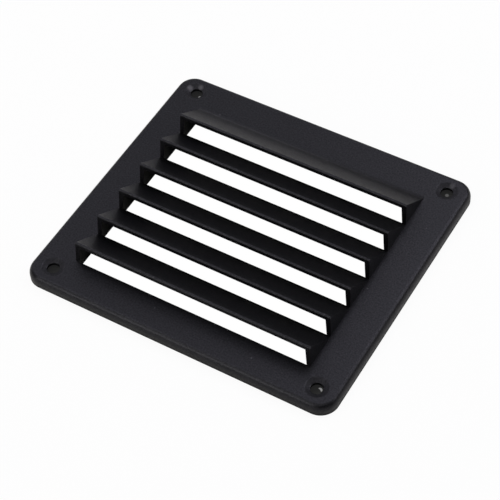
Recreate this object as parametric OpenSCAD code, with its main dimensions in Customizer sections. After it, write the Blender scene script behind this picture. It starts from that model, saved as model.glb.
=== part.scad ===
// Louvred air vent: one moulded cover plate with a bank of hooded louvres.
// Millimetres. The origin is the middle of the back plane, which lies on the wall.
// +Z points out of the face, X runs along the louvres, and +Y points to the closed side of the hoods.

/* [Plate] */
// Width of the plate, along the louvres
plate_w = 127.6; // [100:0.1:200]
// Length of the plate, across the louvres
plate_l = 115.6; // [100:0.1:180]
// Height of the rim, from the wall to the face
rim_h = 4.8; // [4.4:0.1:9]
// Thickness of the rim wall
rim_t = 2.2; // [1.4:0.1:3]
// Thickness of the face
face_t = 2.2; // [1.8:0.1:2.6]
// Corner radius of the outline
corner_r = 7; // [5:0.5:12]
// Rounding between the face and the rim
edge_r = 2.6; // [0.6:0.1:3]

/* [Louvres] */
// Number of louvres
louvre_count = 6; // [4:1:7]
// Face left bare at each side of the louvres
side_margin = 14.8; // [13.5:0.1:30]
// Face left bare behind the first hood
back_margin = 15.3; // [14:0.1:25]
// Face left bare in front of the last louvre
front_margin = 14.1; // [13:0.1:25]
// Height of a hood's edge above the face, before it is rounded
hood_rise = 10; // [7:0.1:12]
// Thickness of the sloping blade, square to its slope
blade_t = 2; // [1.4:0.1:2.4]
// How far a hood's edge is set back from the foot of its mouth
lip_setback = 0.9; // [0.4:0.1:2]
// Width of the bar under a blade, between one opening and the next
bar_w = 1.8; // [1.2:0.1:2.4]
// Depth of the bars and of the frame round the openings, from the face
frame_h = 3.2; // [2.6:0.1:3.6]
// Thickness of the end cheeks where they meet the face
cheek_t = 1.6; // [1.2:0.1:3]
// Rounding along a hood's edge
lip_r = 0.6; // [0.2:0.1:0.9]
// Hollow curve where a blade leaves the face
root_r = 4; // [1:0.5:8]
// Lean of the cheeks' outer faces towards the middle, in degrees
outer_draft = 2.5; // [0:0.5:4]
// Lean of the cheeks' inner faces towards the middle, in degrees
inner_draft = 5.5; // [2:0.5:6]

/* [Screw holes] */
// Distance of the screw holes from the side edges
hole_inset_x = 8.8; // [8.2:0.1:9.2]
// Distance of the screw holes from the front and back edges
hole_inset_y = 7.8; // [7.4:0.1:8.2]
// Diameter of the screw bore
bore_d = 4.8; // [3.2:0.1:5.2]
// Diameter of the countersink at the face
sink_d = 8.5; // [7:0.1:9]
// Angle of the countersink, in degrees
sink_angle = 120; // [100:1:130]

/* [Hidden] */
$fn = 96;
moulding_colour = [0.17, 0.17, 0.19];
// Overshoot of a cutting solid past the surface that it opens
over = 1;

field_w = plate_w - 2 * side_margin;
field_l = plate_l - back_margin - front_margin;
field_back = plate_l / 2 - back_margin;
louvre_pitch = field_l / louvre_count;

// Side view of one louvre, from the foot of its mouth at 0 to its root one pitch behind, over the face
slope = atan2(hood_rise, louvre_pitch - lip_setback);
lean = atan2(lip_setback, hood_rise);
blade_h = blade_t / cos(slope);
lip_z = (louvre_pitch * tan(slope) - blade_h) / (1 + tan(lean) * tan(slope));
lip_y = lip_z * tan(lean);
throat_depth = frame_h + over;
bar_back = louvre_pitch - bar_w;
bar_top = bar_w * tan(slope) - blade_h;
mouth_w = field_w - 2 * cheek_t;

// Rounding of the hood's edge, between the mouth and the slope
mouth_dir = [-sin(lean), -cos(lean)];
slope_dir = [cos(slope), -sin(slope)];
edge_point = [lip_setback, hood_rise];
half_angle = (90 - slope + lean) / 2;
lip_tangent = lip_r / tan(half_angle);
lip_middle = (mouth_dir + slope_dir) / norm(mouth_dir + slope_dir);
lip_centre = edge_point + lip_middle * lip_r / sin(half_angle);
root_reach = root_r * tan(slope / 2);

sink_depth = (sink_d - bore_d) / 2 / tan(sink_angle / 2);

module rounded_rectangle(w, l, r) {
    square([w - 2 * r, l], center = true);
    square([w, l - 2 * r], center = true);
    for (x = [-1, 1], y = [-1, 1])
        translate([x * (w / 2 - r), y * (l / 2 - r)])
            circle(r);
}

// Section through the rim: outwards along x, with the quarter round at its top
module rim_section(reach) {
    square([reach, rim_h - edge_r]);
    square([reach - edge_r, rim_h]);
    translate([reach - edge_r, rim_h - edge_r])
        intersection() {
            circle(edge_r);
            square(edge_r);
        }
}

// Solid cover plate with rounded corners and a rounded top edge
module plate_blank() {
    straight_w = plate_w - 2 * corner_r;
    straight_l = plate_l - 2 * corner_r;
    translate([-straight_w / 2, -straight_l / 2, 0])
        cube([straight_w, straight_l, rim_h]);
    for (side = [0, 1]) {
        rotate([0, 0, 180 * side])
            translate([straight_w / 2, straight_l / 2, 0])
                rotate([90, 0, 0])
                    linear_extrude(straight_l)
                        rim_section(corner_r);
        rotate([0, 0, 180 * side])
            translate([-straight_w / 2, straight_l / 2, 0])
                rotate([90, 0, 90])
                    linear_extrude(straight_w)
                        rim_section(corner_r);
    }
    for (x = [0, 1], y = [0, 1])
        mirror([x, 0, 0])
            mirror([0, y, 0])
                translate([straight_w / 2, straight_l / 2, 0])
                    rotate_extrude(angle = 90)
                        rim_section(corner_r);
}

module at_screw_holes() {
    for (x = [-1, 1], y = [-1, 1])
        translate([x * (plate_w / 2 - hole_inset_x), y * (plate_l / 2 - hole_inset_y), 0])
            children();
}

// Hollow behind the face, inside the rim, with the frame of the openings left standing in it
module back_hollow() {
    difference() {
        translate([0, 0, -over])
            linear_extrude(rim_h - face_t + over)
                rounded_rectangle(plate_w - 2 * rim_t, plate_l - 2 * rim_t, corner_r - rim_t);
        translate([-field_w / 2, field_back - field_l - bar_w, rim_h - frame_h])
            cube([field_w, field_l + bar_w, frame_h]);
    }
}

module screw_hole() {
    translate([0, 0, -over])
        cylinder(d = bore_d, h = rim_h + 2 * over);
    translate([0, 0, rim_h - sink_depth])
        cylinder(d1 = bore_d, d2 = sink_d, h = sink_depth);
    translate([0, 0, rim_h])
        cylinder(d = sink_d, h = over);
}

// Carries a side view, drawn as run and height, to the whole width of the louvres
module along_louvre(w) {
    translate([-w / 2, 0, 0])
        rotate([90, 0, 90])
            linear_extrude(w)
                children();
}

// Front view that leans both ends in from their width at the face, through the depth of one louvre
module drafted_ends(w, draft, low, high) {
    lean_low = low * tan(draft);
    lean_high = high * tan(draft);
    translate([0, 2 * louvre_pitch, 0])
        rotate([90, 0, 0])
            linear_extrude(3 * louvre_pitch)
                polygon([
                    [-w / 2 + lean_low, low], [w / 2 - lean_low, low],
                    [w / 2 - lean_high, high], [-w / 2 + lean_high, high],
                ]);
}

// Sliver of the sharp edge that its rounding takes off
module lip_relief() {
    difference() {
        polygon([
            edge_point + lip_tangent * mouth_dir, edge_point - over * lip_middle,
            edge_point + lip_tangent * slope_dir,
        ]);
        translate(lip_centre)
            circle(lip_r);
    }
}

// Side view of the outside of a hood, rooted in the thickness of the face
module hood_profile() {
    difference() {
        polygon([
            [0, -face_t / 2], [0, 0], edge_point, [louvre_pitch, 0], [louvre_pitch, -face_t / 2],
        ]);
        lip_relief();
    }
    difference() {
        polygon([
            [louvre_pitch, 0], [louvre_pitch + root_reach, 0],
            [louvre_pitch, 0] - root_reach * slope_dir,
        ]);
        translate([louvre_pitch + root_reach, root_r])
            circle(root_r);
    }
}

module hood() {
    intersection() {
        along_louvre(plate_w)
            hood_profile();
        drafted_ends(field_w, outer_draft, -face_t, hood_rise);
    }
}

// Air way under a hood: open at its mouth, and through the face to the back
module throat() {
    intersection() {
        along_louvre(plate_w)
            polygon([
                [0, -throat_depth], [0, 0], [lip_y - over, lip_z],
                [lip_y, lip_z], [bar_back, bar_top], [bar_back, -throat_depth],
            ]);
        drafted_ends(mouth_w, inner_draft, -throat_depth, hood_rise);
    }
}

module at_louvre(i) {
    translate([0, field_back - (i + 1) * louvre_pitch, rim_h])
        children();
}

module louvre_vent() {
    color(moulding_colour)
        difference() {
            union() {
                plate_blank();
                for (i = [0:louvre_count - 1])
                    at_louvre(i)
                        hood();
            }
            back_hollow();
            for (i = [0:louvre_count - 1])
                at_louvre(i)
                    throat();
            at_screw_holes()
                screw_hole();
        }
}

louvre_vent();
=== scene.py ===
"""Dresses the louvred air vent: a satin black moulding with soft edges, on a pale studio floor."""

from math import atan2, cos, pi, radians, sin, tan

import bmesh
import bpy
from bpy.props import FloatProperty, FloatVectorProperty, IntProperty, PointerProperty
from bpy.types import Operator, Panel, PropertyGroup
from mathutils import Matrix, Vector


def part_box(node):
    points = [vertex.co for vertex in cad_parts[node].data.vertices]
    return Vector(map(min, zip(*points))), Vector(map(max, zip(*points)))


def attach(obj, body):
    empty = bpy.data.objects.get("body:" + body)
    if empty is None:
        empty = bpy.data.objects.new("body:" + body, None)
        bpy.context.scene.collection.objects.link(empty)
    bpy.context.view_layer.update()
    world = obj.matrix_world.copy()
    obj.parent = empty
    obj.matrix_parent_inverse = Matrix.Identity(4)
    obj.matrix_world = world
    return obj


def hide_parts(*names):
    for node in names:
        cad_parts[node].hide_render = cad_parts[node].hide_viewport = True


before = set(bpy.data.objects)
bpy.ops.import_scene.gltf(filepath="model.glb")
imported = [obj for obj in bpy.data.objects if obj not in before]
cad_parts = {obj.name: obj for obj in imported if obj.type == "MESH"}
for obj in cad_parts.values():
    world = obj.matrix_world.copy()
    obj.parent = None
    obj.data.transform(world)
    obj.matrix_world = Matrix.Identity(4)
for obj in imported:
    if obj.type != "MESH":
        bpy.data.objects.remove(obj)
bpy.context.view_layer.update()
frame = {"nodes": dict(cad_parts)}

bl_info = {
    "name": "Louvred Air Vent",
    "version": (1, 0, 0),
    "blender": (4, 5, 0),
    "location": "View3D > Sidebar > Air Vent",
    "description": "Builds a moulded louvre vent with its finish, floor, lamps and camera",
    "category": "Add Mesh",
}

MM = 0.001
NODE = "louvre_vent"
BODY = "root"
PLATE_LOW, PLATE_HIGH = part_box(NODE)

# How far a cutting shape reaches past the surface that it opens
OVER = 1 * MM
# Points closer together than this count as one
NEAR = 0.001 * MM

# Painted highlights in the back countersinks: side of the vent, place along X and Y from the hole's
# axis and radius in millimetres, and strength
COUNTERSINK_HIGHLIGHTS = (
    (-1, -3.4, 0.8, 1.6, 1.0),
    (-1, 0.1, 3.1, 1.4, 0.9),
    (1, 0.6, 3.4, 1.4, 0.6),
)

# Tones of the ground, as the camera sees them and as they light the vent
WHITE_SEEN, WHITE_BOUNCE = (0.9, 0.9, 0.9), (0.92, 0.91, 0.87)
SHADED_SEEN, SHADED_BOUNCE = (0.04, 0.04, 0.04), (0.03, 0.03, 0.03)
SHADED_GLOW = 0.013

# Painted pools of light (glints) and a painted shadow on the ground under the screw holes: name,
# side, end, place along X and Y from the hole's axis, radius and height in millimetres, and glow
GROUND_SPOTS = (
    ("glint_back_left", -1, 1, 0.1, 1.7, 0.5, 0.05, 0.27),
    ("glint_back_right", 1, 1, -0.63, 1.77, 0.7, 0.05, 0.085),
    ("glint_front_right", 1, -1, -0.12, 2.1, 0.9, 0.05, 0.24),
    ("shade_front_right", 1, -1, -1.25, 0.1, 2.4, 0.07, SHADED_GLOW),
)


def millimetres(name, description, default, lowest=0):
    """A length in the settings, given in millimetres and kept in metres."""
    return FloatProperty(
        name=name,
        description=description,
        default=default * MM,
        min=lowest * MM,
        unit="LENGTH",
        subtype="DISTANCE",
    )


def degrees(name, description, default):
    """An angle in the settings, given in degrees and kept in radians."""
    return FloatProperty(
        name=name,
        description=description,
        default=radians(default),
        unit="ROTATION",
        subtype="ANGLE",
    )


def share(name, description, default):
    """A number from 0 to 1 in the settings."""
    return FloatProperty(
        name=name, description=description, default=default, min=0, max=1, subtype="FACTOR"
    )


def colour(name, description, default):
    """A linear colour in the settings."""
    return FloatVectorProperty(
        name=name, description=description, default=default, size=3, subtype="COLOR"
    )


class PlateSettings(PropertyGroup):
    """Sizes of the cover plate and its screw holes."""

    rim_height: millimetres("Rim height", "From the wall to the face", 4.8)
    rim_wall: millimetres("Rim wall", "Thickness of the rim", 2.2)
    face_wall: millimetres("Face wall", "Thickness of the face", 2.2)
    corner_radius: millimetres("Corner radius", "Radius of the outline's corners", 7)
    edge_height: millimetres("Edge height", "Height of the rounding from face to rim", 2.8)
    edge_reach: millimetres("Edge reach", "Reach of that rounding over the face", 2)
    inner_radius: millimetres("Inner radius", "Rounding inside the hollow back", 0.5)
    hole_inset_x: millimetres("Hole inset X", "From a side edge to a screw hole", 8.8)
    hole_inset_y: millimetres("Hole inset Y", "From the front or back edge to a screw hole", 7.8)
    bore: millimetres("Screw bore", "Diameter of the screw bore", 4.8)
    countersink: millimetres("Countersink", "Diameter of the countersink at the face", 8.5)
    countersink_angle: degrees("Countersink angle", "Between opposite sides of the cone", 120)
    countersink_round: millimetres("Countersink rounding", "Where the cone meets the face", 0.6)


class LouvreSettings(PropertyGroup):
    """Sizes of the hooded louvres."""

    count: IntProperty(name="Louvres", description="Number of louvres", default=6, min=1)
    side_margin: millimetres("Side margin", "Bare face beside the louvres", 14.8)
    back_margin: millimetres("Back margin", "Bare face behind the first hood", 15.3)
    front_margin: millimetres("Front margin", "Bare face in front of the last louvre", 14.1)
    rise: millimetres("Hood rise", "Height of a hood's edge over the face, before rounding", 10)
    blade: millimetres("Blade", "Thickness of the sloping blade", 2)
    setback: millimetres("Edge setback", "From the foot of the mouth to the hood's edge", 0.9)
    bar: millimetres("Bar", "Width of the bar between two openings", 1.8)
    frame: millimetres("Frame", "Depth of the bars and of the frame round the openings", 3.2)
    cheek: millimetres("Cheek", "Thickness of the end cheeks at the face", 1.6)
    lip_radius: millimetres("Lip radius", "Rounding along the hood's edge", 0.6)
    ridge_radius: millimetres("Ridge radius", "Between a cheek and the top of its hood", 0.5)
    root_radius: millimetres("Root radius", "Hollow curve where the hood leaves the face", 4)
    outer_draft: degrees("Outer draft", "Lean of the outside of the cheeks", 2.5)
    inner_draft: degrees("Inner draft", "Lean of the inside of the cheeks", 5.5)


class FinishSettings(PropertyGroup):
    """Colours and surface of the moulding, and the tints of the lamps."""

    plastic: colour("Plastic", "Black of the moulded plastic", (0.0036, 0.0036, 0.0043))
    plastic_pale: colour("Pale mottle", "Greyer black in the mottle", (0.0046, 0.0046, 0.0054))
    sheen: colour("Sheen", "Tint of the plastic's reflections", (0.89, 0.88, 1.0))
    shine_low: share("Dullest", "Reflection in the mottle's dull spots", 0.195)
    shine_high: share("Shiniest", "Reflection in the mottle's shiny spots", 0.34)
    gloss_low: share("Smoothest", "Roughness where the face is smoothest", 0.37)
    gloss_high: share("Roughest", "Roughness where the face is roughest", 0.40)
    # Greyer black in the countersinks: partly their rougher surface, partly painted light that
    # lifts their shade
    countersink_grey_fill: colour("Countersinks", "Greyer black of the countersinks", (0.0108, 0.0106, 0.0123))
    gloss_cone: share("Cone roughness", "Roughness in the countersinks", 0.6)
    grain: millimetres("Grain", "Size of the moulded grain", 0.35)
    grain_depth: millimetres("Grain depth", "Height of the moulded grain", 0.012)
    mottle: millimetres("Mottle", "Size of the fine mottle in the tone", 0.6)
    cloud: millimetres("Clouds", "Size of the broad changes in roughness", 25)
    # Grey of the painted highlights in the back countersinks, and of the pale specks
    highlight_and_speck_grey: colour("Highlight and speck grey", "Grey of the highlighted spots and specks", (0.09, 0.087, 0.096))
    speck: millimetres("Specks", "Distance between the pale specks", 9)
    back_light: colour("Back light", "Tint of the softboxes behind the vent", (0.94, 0.93, 1.0))
    front_light: colour("Front light", "Tint of the softboxes in front of it", (1.0, 0.99, 0.94))


class CameraSettings(PropertyGroup):
    """Where the camera stands."""

    azimuth: degrees("Azimuth", "Round the vent from the front towards its right", 33.771)
    elevation: degrees("Elevation", "Above the floor", 51.234)
    roll: degrees("Roll", "Turn of the camera about its own line of sight", 4.267)
    distance: millimetres("Distance", "From the camera to the face", 599.59)
    target_x: millimetres("Target X", "Where the line of sight meets the face", 4.5, -1000)
    target_y: millimetres("Target Y", "Where the line of sight meets the face", -9.26, -1000)
    lens: FloatProperty(name="Lens", description="Focal length", default=118.28, unit="CAMERA")


class VentSettings(PropertyGroup):
    """All the settings of the vent."""

    plate: PointerProperty(type=PlateSettings)
    louvre: PointerProperty(type=LouvreSettings)
    finish: PointerProperty(type=FinishSettings)
    camera: PointerProperty(type=CameraSettings)


def settings():
    """The settings of the open scene."""
    return bpy.context.scene.air_vent


def hole_place(plate):
    """Distances of the screw holes' axes from the middle, along X and Y."""
    return PLATE_HIGH.x - plate.hole_inset_x, PLATE_HIGH.y - plate.hole_inset_y


class NodeTree:
    """Adds nodes to a material or world and links them by name."""

    def __init__(self, owner):
        owner.use_nodes = True
        self.tree = owner.node_tree
        self.tree.nodes.clear()

    def add(self, kind, inputs=None, **values):
        node = self.tree.nodes.new(kind)
        for name, value in values.items():
            setattr(node, name, value)
        for name, value in (inputs or {}).items():
            socket = node.inputs[name]
            if isinstance(value, bpy.types.NodeSocket):
                self.tree.links.new(value, socket)
            else:
                socket.default_value = value
        return node

    def maths(self, operation, *values):
        node = self.add("ShaderNodeMath", dict(enumerate(values)), operation=operation)
        return node.outputs["Value"]

    def vector(self, operation, *values):
        node = self.add("ShaderNodeVectorMath", dict(enumerate(values)), operation=operation)
        return node.outputs["Value" if operation == "DISTANCE" else "Vector"]

    def remap(self, value, low, high, to_low, to_high):
        """Carries values from low to high over to another stretch, and stops at its ends."""
        ends = {"From Min": low, "From Max": high, "To Min": to_low, "To Max": to_high}
        return self.add("ShaderNodeMapRange", {"Value": value, **ends}).outputs["Result"]

    def noise(self, place, size, detail, roughness):
        inputs = {"Vector": place, "Scale": 1 / size, "Detail": detail, "Roughness": roughness}
        return self.add("ShaderNodeTexNoise", inputs).outputs["Fac"]

    def blend(self, factor, first, second):
        """A colour between the first, which may be a socket, and the second."""
        if not isinstance(first, bpy.types.NodeSocket):
            first = (*first, 1)
        inputs = {"Factor": factor, "A": first, "B": (*second, 1)}
        return self.add("ShaderNodeMix", inputs, data_type="RGBA").outputs["Result"]


def painted_countersink_highlights(nodes, place, plate):
    """How much painted highlight each point gets, in the two back countersinks."""
    below_face = 0.4 * MM
    across, along = hole_place(plate)
    total = 0.0
    for side, x, y, radius, strength in COUNTERSINK_HIGHLIGHTS:
        spot = (side * across + x * MM, along + y * MM, plate.rim_height - below_face)
        away = nodes.vector("DISTANCE", place, spot)
        amount = nodes.remap(away, radius * MM / 4, radius * MM, strength, 0.0)
        total = nodes.maths("MAXIMUM", amount, total)
    return total


def specks(nodes, place, spacing):
    """A few pale specks scattered over the moulding, with their sizes as shares of the spacing."""
    whole, edge, strength = 0.025, 0.05, 0.4
    cells = nodes.add("ShaderNodeTexVoronoi", {"Vector": place, "Scale": 1 / spacing})
    return nodes.remap(cells.outputs["Distance"], whole, edge, strength, 0.0)


def in_countersinks(nodes, place, plate):
    """1 on the cones of the four countersinks and 0 elsewhere, with a soft border."""
    border_inside, border_outside = 0.35 * MM, 0.05 * MM
    middle = (plate.countersink + plate.bore) / 4
    reach = (plate.countersink - plate.bore) / 4
    folded = nodes.vector("ABSOLUTE", place)
    flattened = nodes.vector("MULTIPLY", folded, (1, 1, 0))
    away = nodes.vector("DISTANCE", flattened, (*hole_place(plate), 0))
    beside = nodes.maths("ABSOLUTE", nodes.maths("SUBTRACT", away, middle))
    return nodes.remap(beside, reach - border_inside, reach + border_outside, 1.0, 0.0)


def moulded_plastic(look, plate):
    """Satin black plastic with a fine spark-eroded grain."""
    material = bpy.data.materials.new("moulded_black_plastic")
    nodes = NodeTree(material)
    place = nodes.add("ShaderNodeTexCoord").outputs["Object"]
    grain = nodes.noise(place, look.grain, 2.0, 0.6)
    cloud = nodes.noise(place, look.cloud, 3.0, 0.6)
    mottle = nodes.noise(place, look.mottle, 1.0, 0.5)
    cones = in_countersinks(nodes, place, plate)
    # Painted highlights in the back countersinks, together with the pale specks
    highlights_and_specks = nodes.maths(
        "MAXIMUM", painted_countersink_highlights(nodes, place, plate), specks(nodes, place, look.speck)
    )
    # The noises seldom leave these stretches
    mottle_low, mottle_high, cloud_low, cloud_high = 0.3, 0.7, 0.35, 0.65
    tone = nodes.remap(mottle, mottle_low, mottle_high, 0.0, 1.0)
    shine = nodes.remap(mottle, mottle_low, mottle_high, look.shine_low, look.shine_high)
    gloss = nodes.remap(cloud, cloud_low, cloud_high, look.gloss_low, look.gloss_high)
    rough = nodes.maths("MAXIMUM", gloss, nodes.maths("MULTIPLY", cones, look.gloss_cone))
    mottled = nodes.blend(tone, look.plastic, look.plastic_pale)
    # Painted light: the countersinks get a greyer black that lifts their shade, besides their
    # rougher surface
    with_countersink_fill = nodes.blend(cones, mottled, look.countersink_grey_fill)
    # Painted highlights: the back countersinks get grey patches in their colour, as do the specks
    with_highlights_and_specks = nodes.blend(highlights_and_specks, with_countersink_fill, look.highlight_and_speck_grey)
    bump = nodes.add(
        "ShaderNodeBump", {"Height": grain, "Distance": look.grain_depth, "Strength": 1.0}
    )
    shader = nodes.add(
        "ShaderNodeBsdfPrincipled",
        {
            "Base Color": with_highlights_and_specks,
            "Roughness": rough,
            "Normal": bump.outputs["Normal"],
            "IOR": 1.5,
            "Specular IOR Level": shine,
            "Specular Tint": (*look.sheen, 1),
        },
    )
    nodes.add("ShaderNodeOutputMaterial", {"Surface": shader.outputs["BSDF"]})
    return material


def studio_ground(name, seen, glow, lit):
    """Ground in one tone for the camera, partly as a glow, and in another that lights the vent."""
    material = bpy.data.materials.new(name)
    nodes = NodeTree(material)
    path = nodes.add("ShaderNodeLightPath")
    shaded = nodes.add("ShaderNodeBsdfDiffuse", {"Color": (*seen, 1)})
    glowing = nodes.add("ShaderNodeEmission", {"Color": (1, 1, 1, 1), "Strength": 1.0})
    front = nodes.add(
        "ShaderNodeMixShader", {0: glow, 1: shaded.outputs["BSDF"], 2: glowing.outputs["Emission"]}
    )
    bounce = nodes.add("ShaderNodeBsdfDiffuse", {"Color": (*lit, 1)})
    both = nodes.add(
        "ShaderNodeMixShader",
        {0: path.outputs["Is Camera Ray"], 1: bounce.outputs["BSDF"], 2: front.outputs["Shader"]},
    )
    nodes.add("ShaderNodeOutputMaterial", {"Surface": both.outputs["Shader"]})
    return material


def into_scene(mesh_data, name):
    """A new object at the origin, made from a bmesh."""
    mesh = bpy.data.meshes.new(name)
    mesh_data.normal_update()
    mesh_data.to_mesh(mesh)
    mesh_data.free()
    piece = bpy.data.objects.new(name, mesh)
    bpy.context.scene.collection.objects.link(piece)
    return piece


def bevel(mesh_data, edges, offset, segments):
    """Rounds the given edges."""
    bmesh.ops.bevel(
        mesh_data,
        geom=edges,
        offset=offset,
        offset_type="OFFSET",
        affect="EDGES",
        segments=segments,
        profile=0.5,
        material=-1,
        clamp_overlap=True,
    )


def block(low, high):
    """A bmesh box between two corners."""
    low, high = Vector(low), Vector(high)
    place = Matrix.Translation((low + high) / 2) @ Matrix.Diagonal((*(high - low), 1))
    mesh_data = bmesh.new()
    bmesh.ops.create_cube(mesh_data, size=1, matrix=place)
    return mesh_data


def slab(width, length, low, high, radius, segments):
    """An upright prism with rounded corners, centred on the Z axis."""
    mesh_data = block((-width / 2, -length / 2, low), (width / 2, length / 2, high))
    upright = [
        edge
        for edge in mesh_data.edges
        if abs(edge.verts[0].co.z - edge.verts[1].co.z) > (high - low) / 2
    ]
    bevel(mesh_data, upright, radius, segments)
    return mesh_data


def edges_at_height(mesh_data, height):
    """The edges that lie in one level plane."""
    return [
        edge
        for edge in mesh_data.edges
        if all(abs(vert.co.z - height) < NEAR for vert in edge.verts)
    ]


def side_view_prism(points, width):
    """Carries a side view, drawn as (y, z) points, along X and centres it."""
    mesh_data = bmesh.new()
    corners = [mesh_data.verts.new((-width / 2, y, z)) for y, z in points]
    start = mesh_data.faces.new(corners)
    grown = bmesh.ops.extrude_face_region(mesh_data, geom=[start])["geom"]
    moved = [item for item in grown if isinstance(item, bmesh.types.BMVert)]
    bmesh.ops.translate(mesh_data, verts=moved, vec=(width, 0, 0))
    bmesh.ops.recalc_face_normals(mesh_data, faces=mesh_data.faces[:])
    return mesh_data


def lean_ends(mesh_data, width, angle, face):
    """Leans both ends of a prism towards the middle, from their width at the face."""
    for vert in mesh_data.verts:
        side = 1 if vert.co.x > 0 else -1
        vert.co.x = side * (width / 2 - (vert.co.z - face) * tan(angle))


class LouvreShape:
    """Side view of one louvre, from the foot of its mouth at 0 to its root one pitch behind."""

    def __init__(self, plate, louvre):
        length = PLATE_HIGH.y - PLATE_LOW.y
        self.face = plate.rim_height
        self.width = PLATE_HIGH.x - PLATE_LOW.x - 2 * louvre.side_margin
        self.pitch = (length - louvre.back_margin - louvre.front_margin) / louvre.count
        self.back = PLATE_HIGH.y - louvre.back_margin
        self.slope = atan2(louvre.rise, self.pitch - louvre.setback)
        self.lean = atan2(louvre.setback, louvre.rise)
        self.blade_height = louvre.blade / cos(self.slope)
        rise_at_root = self.pitch * tan(self.slope)
        lean_and_slope = 1 + tan(self.lean) * tan(self.slope)
        self.lip_z = (rise_at_root - self.blade_height) / lean_and_slope
        self.lip_y = self.lip_z * tan(self.lean)

    def foot(self, index):
        return self.back - (index + 1) * self.pitch

    def place(self, points, index):
        """Side view points of one louvre, moved to where it stands on the face."""
        return [(y + self.foot(index), z + self.face) for y, z in points]


def arc(centre, radius, start, end, steps):
    """Points along a round stretch of a side view, from one direction to another."""
    turns = [start + (end - start) * step / steps for step in range(steps + 1)]
    return [(centre[0] + radius * cos(turn), centre[1] + radius * sin(turn)) for turn in turns]


def hood(plate, louvre, shape, index):
    """One solid hood with its edge, ridges and root rounded."""
    lip_segments, ridge_segments, root_segments = 8, 5, 8
    depth = plate.face_wall / 2
    half_angle = (pi / 2 - shape.slope + shape.lean) / 2
    inward = shape.lean - half_angle
    reach = louvre.lip_radius / sin(half_angle)
    lip = (louvre.setback - reach * sin(inward), louvre.rise - reach * cos(inward))
    root = louvre.root_radius
    root_end = shape.pitch + root * tan(shape.slope / 2)
    mouth_side, slope_side = pi - shape.lean, pi / 2 - shape.slope
    points = [(0, -depth), (0, 0)]
    points += arc(lip, louvre.lip_radius, mouth_side, slope_side, lip_segments)
    points += arc((root_end, root), root, -pi / 2 - shape.slope, -pi / 2, root_segments)
    points.append((root_end, -depth))
    solid = side_view_prism(shape.place(points, index), shape.width)
    lean_ends(solid, shape.width, louvre.outer_draft, shape.face)
    solid.normal_update()
    root_start = shape.foot(index) + shape.pitch
    nearly_sideways = 0.9
    ridges = []
    for edge in solid.edges:
        at_end = [abs(face.normal.x) > nearly_sideways for face in edge.link_faces]
        above = all(vert.co.z > shape.face - NEAR for vert in edge.verts)
        behind = all(vert.co.y > root_start - NEAR for vert in edge.verts)
        if at_end[0] != at_end[1] and above and not behind:
            ridges.append(edge)
    bevel(solid, ridges, louvre.ridge_radius, ridge_segments)
    return into_scene(solid, f"hood_{index + 1}")


def throat(louvre, shape, index):
    """The air way under a hood: from its mouth, and through the face to the hollow back."""
    depth = louvre.frame + OVER
    bar_back = shape.pitch - louvre.bar
    bar_top = louvre.bar * tan(shape.slope) - shape.blade_height
    points = [
        (0, -depth),
        (0, 0),
        (shape.lip_y - OVER, shape.lip_z),
        (shape.lip_y, shape.lip_z),
        (bar_back, bar_top),
        (bar_back, -depth),
    ]
    mouth = shape.width - 2 * louvre.cheek
    solid = side_view_prism(shape.place(points, index), mouth)
    lean_ends(solid, mouth, louvre.inner_draft, shape.face)
    return into_scene(solid, f"throat_{index + 1}")


def opening_frame(plate, louvre, shape):
    """The block behind the face that the air ways go through."""
    front = shape.foot(louvre.count - 1) - louvre.bar
    low = (-shape.width / 2, front, plate.rim_height - louvre.frame)
    high = (shape.width / 2, shape.back, plate.rim_height)
    return into_scene(block(low, high), "opening_frame")


def hollow_back(plate, louvre, shape):
    """The hollow inside the rim, less the frame of the openings that stands in it."""
    corner_segments, ceiling_segments = 12, 3
    size = PLATE_HIGH - PLATE_LOW
    ceiling = plate.rim_height - plate.face_wall
    hollow = slab(
        size.x - 2 * plate.rim_wall,
        size.y - 2 * plate.rim_wall,
        -OVER,
        ceiling,
        plate.corner_radius - plate.rim_wall,
        corner_segments,
    )
    bevel(hollow, edges_at_height(hollow, ceiling), plate.inner_radius, ceiling_segments)
    behind_face = into_scene(hollow, "hollow")
    combine(behind_face, [opening_frame(plate, louvre, shape)], "DIFFERENCE")
    return behind_face


def cover_plate(plate):
    """The solid plate, with a rounding that is higher than it is wide between face and rim."""
    corner_segments, edge_segments = 16, 12
    size = PLATE_HIGH - PLATE_LOW
    # The plate is made lower, with an even rounding, and then stretched to its height
    squash = plate.edge_reach / plate.edge_height
    height = plate.rim_height * squash
    blank = slab(size.x, size.y, 0, height, plate.corner_radius, corner_segments)
    bevel(blank, edges_at_height(blank, height), plate.edge_reach, edge_segments)
    bmesh.ops.scale(blank, verts=blank.verts[:], vec=(1, 1, 1 / squash))
    return into_scene(blank, "louvre_moulding")


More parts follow.
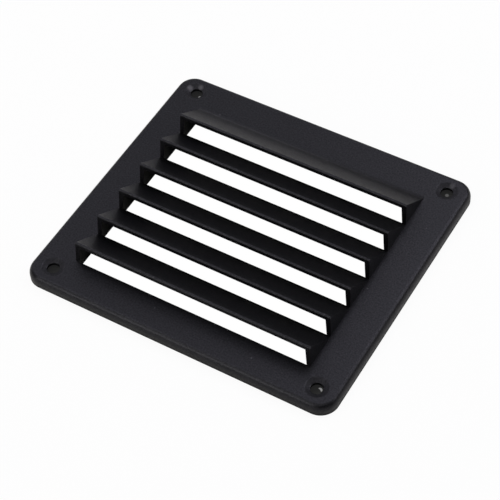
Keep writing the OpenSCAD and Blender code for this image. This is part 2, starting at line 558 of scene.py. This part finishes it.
def screw_hole(plate, centre):
    """The shape that a countersunk hole takes out of the face, turned about its axis."""
    segments, flare_segments = 64, 5
    bore = plate.bore / 2
    sink = plate.countersink / 2
    half = plate.countersink_angle / 2
    face = plate.rim_height
    flare = plate.countersink_round
    reach = flare * tan((pi / 2 - half) / 2)
    profile = [(0, -OVER), (bore, -OVER), (bore, face - (sink - bore) / tan(half))]
    for step in range(flare_segments + 1):
        turn = (pi / 2 - half) * (1 - step / flare_segments)
        profile.append((sink + reach - flare * sin(turn), face - flare + flare * cos(turn)))
    profile += [(sink + reach, face + OVER), (0, face + OVER)]
    solid = bmesh.new()
    corners = [solid.verts.new((r, 0, z)) for r, z in profile]
    outline = [solid.edges.new(pair) for pair in zip(corners, corners[1:])]
    bmesh.ops.spin(
        solid,
        geom=corners + outline,
        cent=(0, 0, 0),
        axis=(0, 0, 1),
        angle=2 * pi,
        steps=segments,
        use_merge=True,
    )
    bmesh.ops.remove_doubles(solid, verts=solid.verts[:], dist=NEAR)
    bmesh.ops.recalc_face_normals(solid, faces=solid.faces[:])
    bmesh.ops.translate(solid, verts=solid.verts[:], vec=centre)
    return into_scene(solid, "screw_hole")


def combine(piece, others, operation):
    """Adds the others to the piece, or cuts them out of it, and deletes them."""
    for other in others:
        step = piece.modifiers.new(operation.lower(), "BOOLEAN")
        step.operation = operation
        step.solver = "MANIFOLD"
        step.object = other
    view = bpy.context.evaluated_depsgraph_get()
    result = bpy.data.meshes.new_from_object(piece.evaluated_get(view), depsgraph=view)
    piece.modifiers.clear()
    piece.data = result
    for other in others:
        bpy.data.objects.remove(other)


def smooth_by_face_size(piece):
    """Joins what the cuts left split, shades the roundings smoothly and leaves the flats flat."""
    weld, level_within, sharp_from, flat_weight = NEAR / 2, radians(0.05), radians(30), 90
    cleaned = bmesh.new()
    cleaned.from_mesh(piece.data)
    bmesh.ops.remove_doubles(cleaned, verts=cleaned.verts[:], dist=weld)
    bmesh.ops.dissolve_limit(
        cleaned,
        angle_limit=level_within,
        use_dissolve_boundaries=False,
        verts=cleaned.verts[:],
        edges=cleaned.edges[:],
    )
    bmesh.ops.recalc_face_normals(cleaned, faces=cleaned.faces[:])
    for face in cleaned.faces:
        face.smooth = True
    cleaned.to_mesh(piece.data)
    cleaned.free()
    piece.data.set_sharp_from_angle(angle=sharp_from)
    weighted = piece.modifiers.new("weighted_normals", "WEIGHTED_NORMAL")
    weighted.mode = "FACE_AREA"
    weighted.weight = flat_weight
    weighted.keep_sharp = True


class VENT_OT_moulding(Operator):
    """Build the one-piece moulding: plate, hoods, air ways and screw holes"""

    bl_idname = "air_vent.moulding"
    bl_label = "Vent Moulding"

    def execute(self, context):
        plate, louvre, look = settings().plate, settings().louvre, settings().finish
        shape = LouvreShape(plate, louvre)
        moulding = cover_plate(plate)
        combine(moulding, [hood(plate, louvre, shape, i) for i in range(louvre.count)], "UNION")
        across, along = hole_place(plate)
        cuts = [hollow_back(plate, louvre, shape)]
        cuts += [throat(louvre, shape, i) for i in range(louvre.count)]
        cuts += [
            screw_hole(plate, (side * across, end * along, 0))
            for side in (-1, 1)
            for end in (-1, 1)
        ]
        combine(moulding, cuts, "DIFFERENCE")
        smooth_by_face_size(moulding)
        moulding.data.materials.clear()
        moulding.data.materials.append(moulded_plastic(look, plate))
        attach(moulding, BODY)
        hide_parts(NODE)
        return {"FINISHED"}


def direction(azimuth, elevation):
    """Unit vector at a bearing from the front towards the right, and a height over the floor."""
    level = cos(elevation)
    return Vector((sin(azimuth) * level, -cos(azimuth) * level, sin(elevation)))


def softbox(name, azimuth, elevation, power, tint):
    """A square studio lamp that faces the vent."""
    size, distance = 0.6, 1.3
    lamp = bpy.data.lights.new(name, "AREA")
    lamp.shape = "SQUARE"
    lamp.size = size
    lamp.energy = power
    lamp.color = tint
    place = direction(azimuth, elevation) * distance
    holder = bpy.data.objects.new(name, lamp)
    holder.location = place
    holder.rotation_euler = (-place).to_track_quat("-Z", "Y").to_euler()
    bpy.context.scene.collection.objects.link(holder)


def level_plane(name, low, high, height, material):
    """A flat rectangle at one height."""
    middle = Matrix.Translation(((low[0] + high[0]) / 2, (low[1] + high[1]) / 2, height))
    size = Matrix.Diagonal((high[0] - low[0], high[1] - low[1], 1, 1))
    mesh_data = bmesh.new()
    bmesh.ops.create_grid(mesh_data, x_segments=1, y_segments=1, size=0.5, matrix=middle @ size)
    plane = into_scene(mesh_data, name)
    plane.data.materials.append(material)
    return plane


def ground_disc(name, place, radius, material):
    """A flat disc just over the ground."""
    mesh_data = bmesh.new()
    bmesh.ops.create_circle(
        mesh_data, cap_ends=True, segments=32, radius=radius, matrix=Matrix.Translation(place)
    )
    disc = into_scene(mesh_data, name)
    disc.data.materials.append(material)
    return disc


def lay_ground(plate):
    """The white floor, the ground under the vent painted dark as its shade, and what shows through
    its openings.
    """
    floor_reach, floor_glow = 3, 0.93
    shade_height, card_height = 0.03 * MM, 0.06 * MM
    card_low, card_high, card_glow = (-49.5 * MM, -45.5 * MM), (49.5 * MM, 50 * MM), 1.0
    floor = level_plane(
        "floor",
        (-floor_reach, -floor_reach),
        (floor_reach, floor_reach),
        0,
        studio_ground("studio_floor", WHITE_SEEN, floor_glow, WHITE_BOUNCE),
    )
    shade = level_plane(
        "shade_card",
        (PLATE_LOW.x + plate.rim_wall, PLATE_LOW.y + plate.rim_wall),
        (PLATE_HIGH.x - plate.rim_wall, PLATE_HIGH.y - plate.rim_wall),
        shade_height,
        studio_ground("ground_in_shade", SHADED_SEEN, SHADED_GLOW, SHADED_BOUNCE),
    )
    card = level_plane(
        "bright_card",
        card_low,
        card_high,
        card_height,
        studio_ground("bright_ground", WHITE_SEEN, card_glow, WHITE_BOUNCE),
    )
    across, along = hole_place(plate)
    for name, side, end, x, y, radius, height, glow in GROUND_SPOTS:
        place = (side * across + x * MM, end * along + y * MM, height * MM)
        material = studio_ground(name, SHADED_SEEN, glow, SHADED_BOUNCE)
        ground_disc(name, place, radius * MM, material)


def hang_softboxes(look):
    """The lamps round the vent, by bearing from the front, height in degrees and power in watts."""
    front, back = look.front_light, look.back_light
    for name, azimuth, elevation, power, tint in (
        ("high_front_left_softbox", 322, 54, 2.0, front),
        ("front_left_softbox", 339, 23, 4.4, front),
        ("low_left_softbox", 262, 20, 0.8, back),
        ("left_softbox", 250, 38, 1.2, back),
        ("high_left_softbox", 260, 66, 2.7, back),
        ("left_back_softbox", 222, 36, 0.7, back),
        ("low_back_softbox", 208, 12, 0.85, back),
        ("back_softbox", 180, 52, 2.31, back),
        ("high_back_softbox", 180, 66, 1.88, back),
        ("back_right_softbox", 141, 41, 3.5, back),
        ("right_softbox", 120, 32, 1.4, front),
        ("front_right_softbox", 40, 65, 1.7, front),
    ):
        softbox(name, radians(azimuth), radians(elevation), power, tint)


def light_world():
    """An even, faint light from all round."""
    level = 0.08
    world = bpy.data.worlds.new("studio")
    nodes = NodeTree(world)
    light = nodes.add("ShaderNodeBackground", {"Color": (1, 1, 1, 1), "Strength": level})
    nodes.add("ShaderNodeOutputWorld", {"Surface": light.outputs["Background"]})
    bpy.context.scene.world = world


def aim_camera(view, face):
    """The camera, which looks at a point on the face."""
    lens = bpy.data.cameras.new("camera")
    lens.lens = view.lens
    lens.sensor_width = 36
    lens.clip_start = 0.01
    lens.clip_end = 20
    camera = bpy.data.objects.new("camera", lens)
    back = direction(view.azimuth, view.elevation)
    sideways = Vector((cos(view.azimuth), sin(view.azimuth), 0))
    upward = back.cross(sideways)
    right = sideways * cos(view.roll) - upward * sin(view.roll)
    up = upward * cos(view.roll) + sideways * sin(view.roll)
    turn = Matrix((right, up, back)).transposed().to_4x4()
    target = Vector((view.target_x, view.target_y, face))
    camera.matrix_world = Matrix.Translation(target + back * view.distance) @ turn
    bpy.context.scene.collection.objects.link(camera)
    bpy.context.scene.camera = camera


class VENT_OT_stage(Operator):
    """Build the floor, lamps, world and camera"""

    bl_idname = "air_vent.stage"
    bl_label = "Studio Stage"

    def execute(self, context):
        plate = settings().plate
        lay_ground(plate)
        hang_softboxes(settings().finish)
        light_world()
        context.scene.view_settings.view_transform = "Standard"
        aim_camera(settings().camera, plate.rim_height)
        return {"FINISHED"}


class VENT_PT_panel(Panel):
    """Lists the parts of the vent and of its stage, and their settings"""

    bl_idname = "VENT_PT_panel"
    bl_label = "Air Vent"
    bl_space_type = "VIEW_3D"
    bl_region_type = "UI"
    bl_category = "Air Vent"

    def draw(self, context):
        self.layout.operator(VENT_OT_moulding.bl_idname)
        self.layout.operator(VENT_OT_stage.bl_idname)
        vent = settings()
        for group in (vent.plate, vent.louvre, vent.finish, vent.camera):
            box = self.layout.box()
            for setting in group.bl_rna.properties:
                if setting.identifier not in ("rna_type", "name"):
                    box.prop(group, setting.identifier)


CLASSES = (
    PlateSettings,
    LouvreSettings,
    FinishSettings,
    CameraSettings,
    VentSettings,
    VENT_OT_moulding,
    VENT_OT_stage,
    VENT_PT_panel,
)


def register():
    for cls in CLASSES:
        bpy.utils.register_class(cls)
    bpy.types.Scene.air_vent = PointerProperty(type=VentSettings)


def unregister():
    del bpy.types.Scene.air_vent
    for cls in reversed(CLASSES):
        bpy.utils.unregister_class(cls)


def main():
    register()
    bpy.ops.air_vent.moulding()
    bpy.ops.air_vent.stage()


if __name__ == "__main__":
    main()
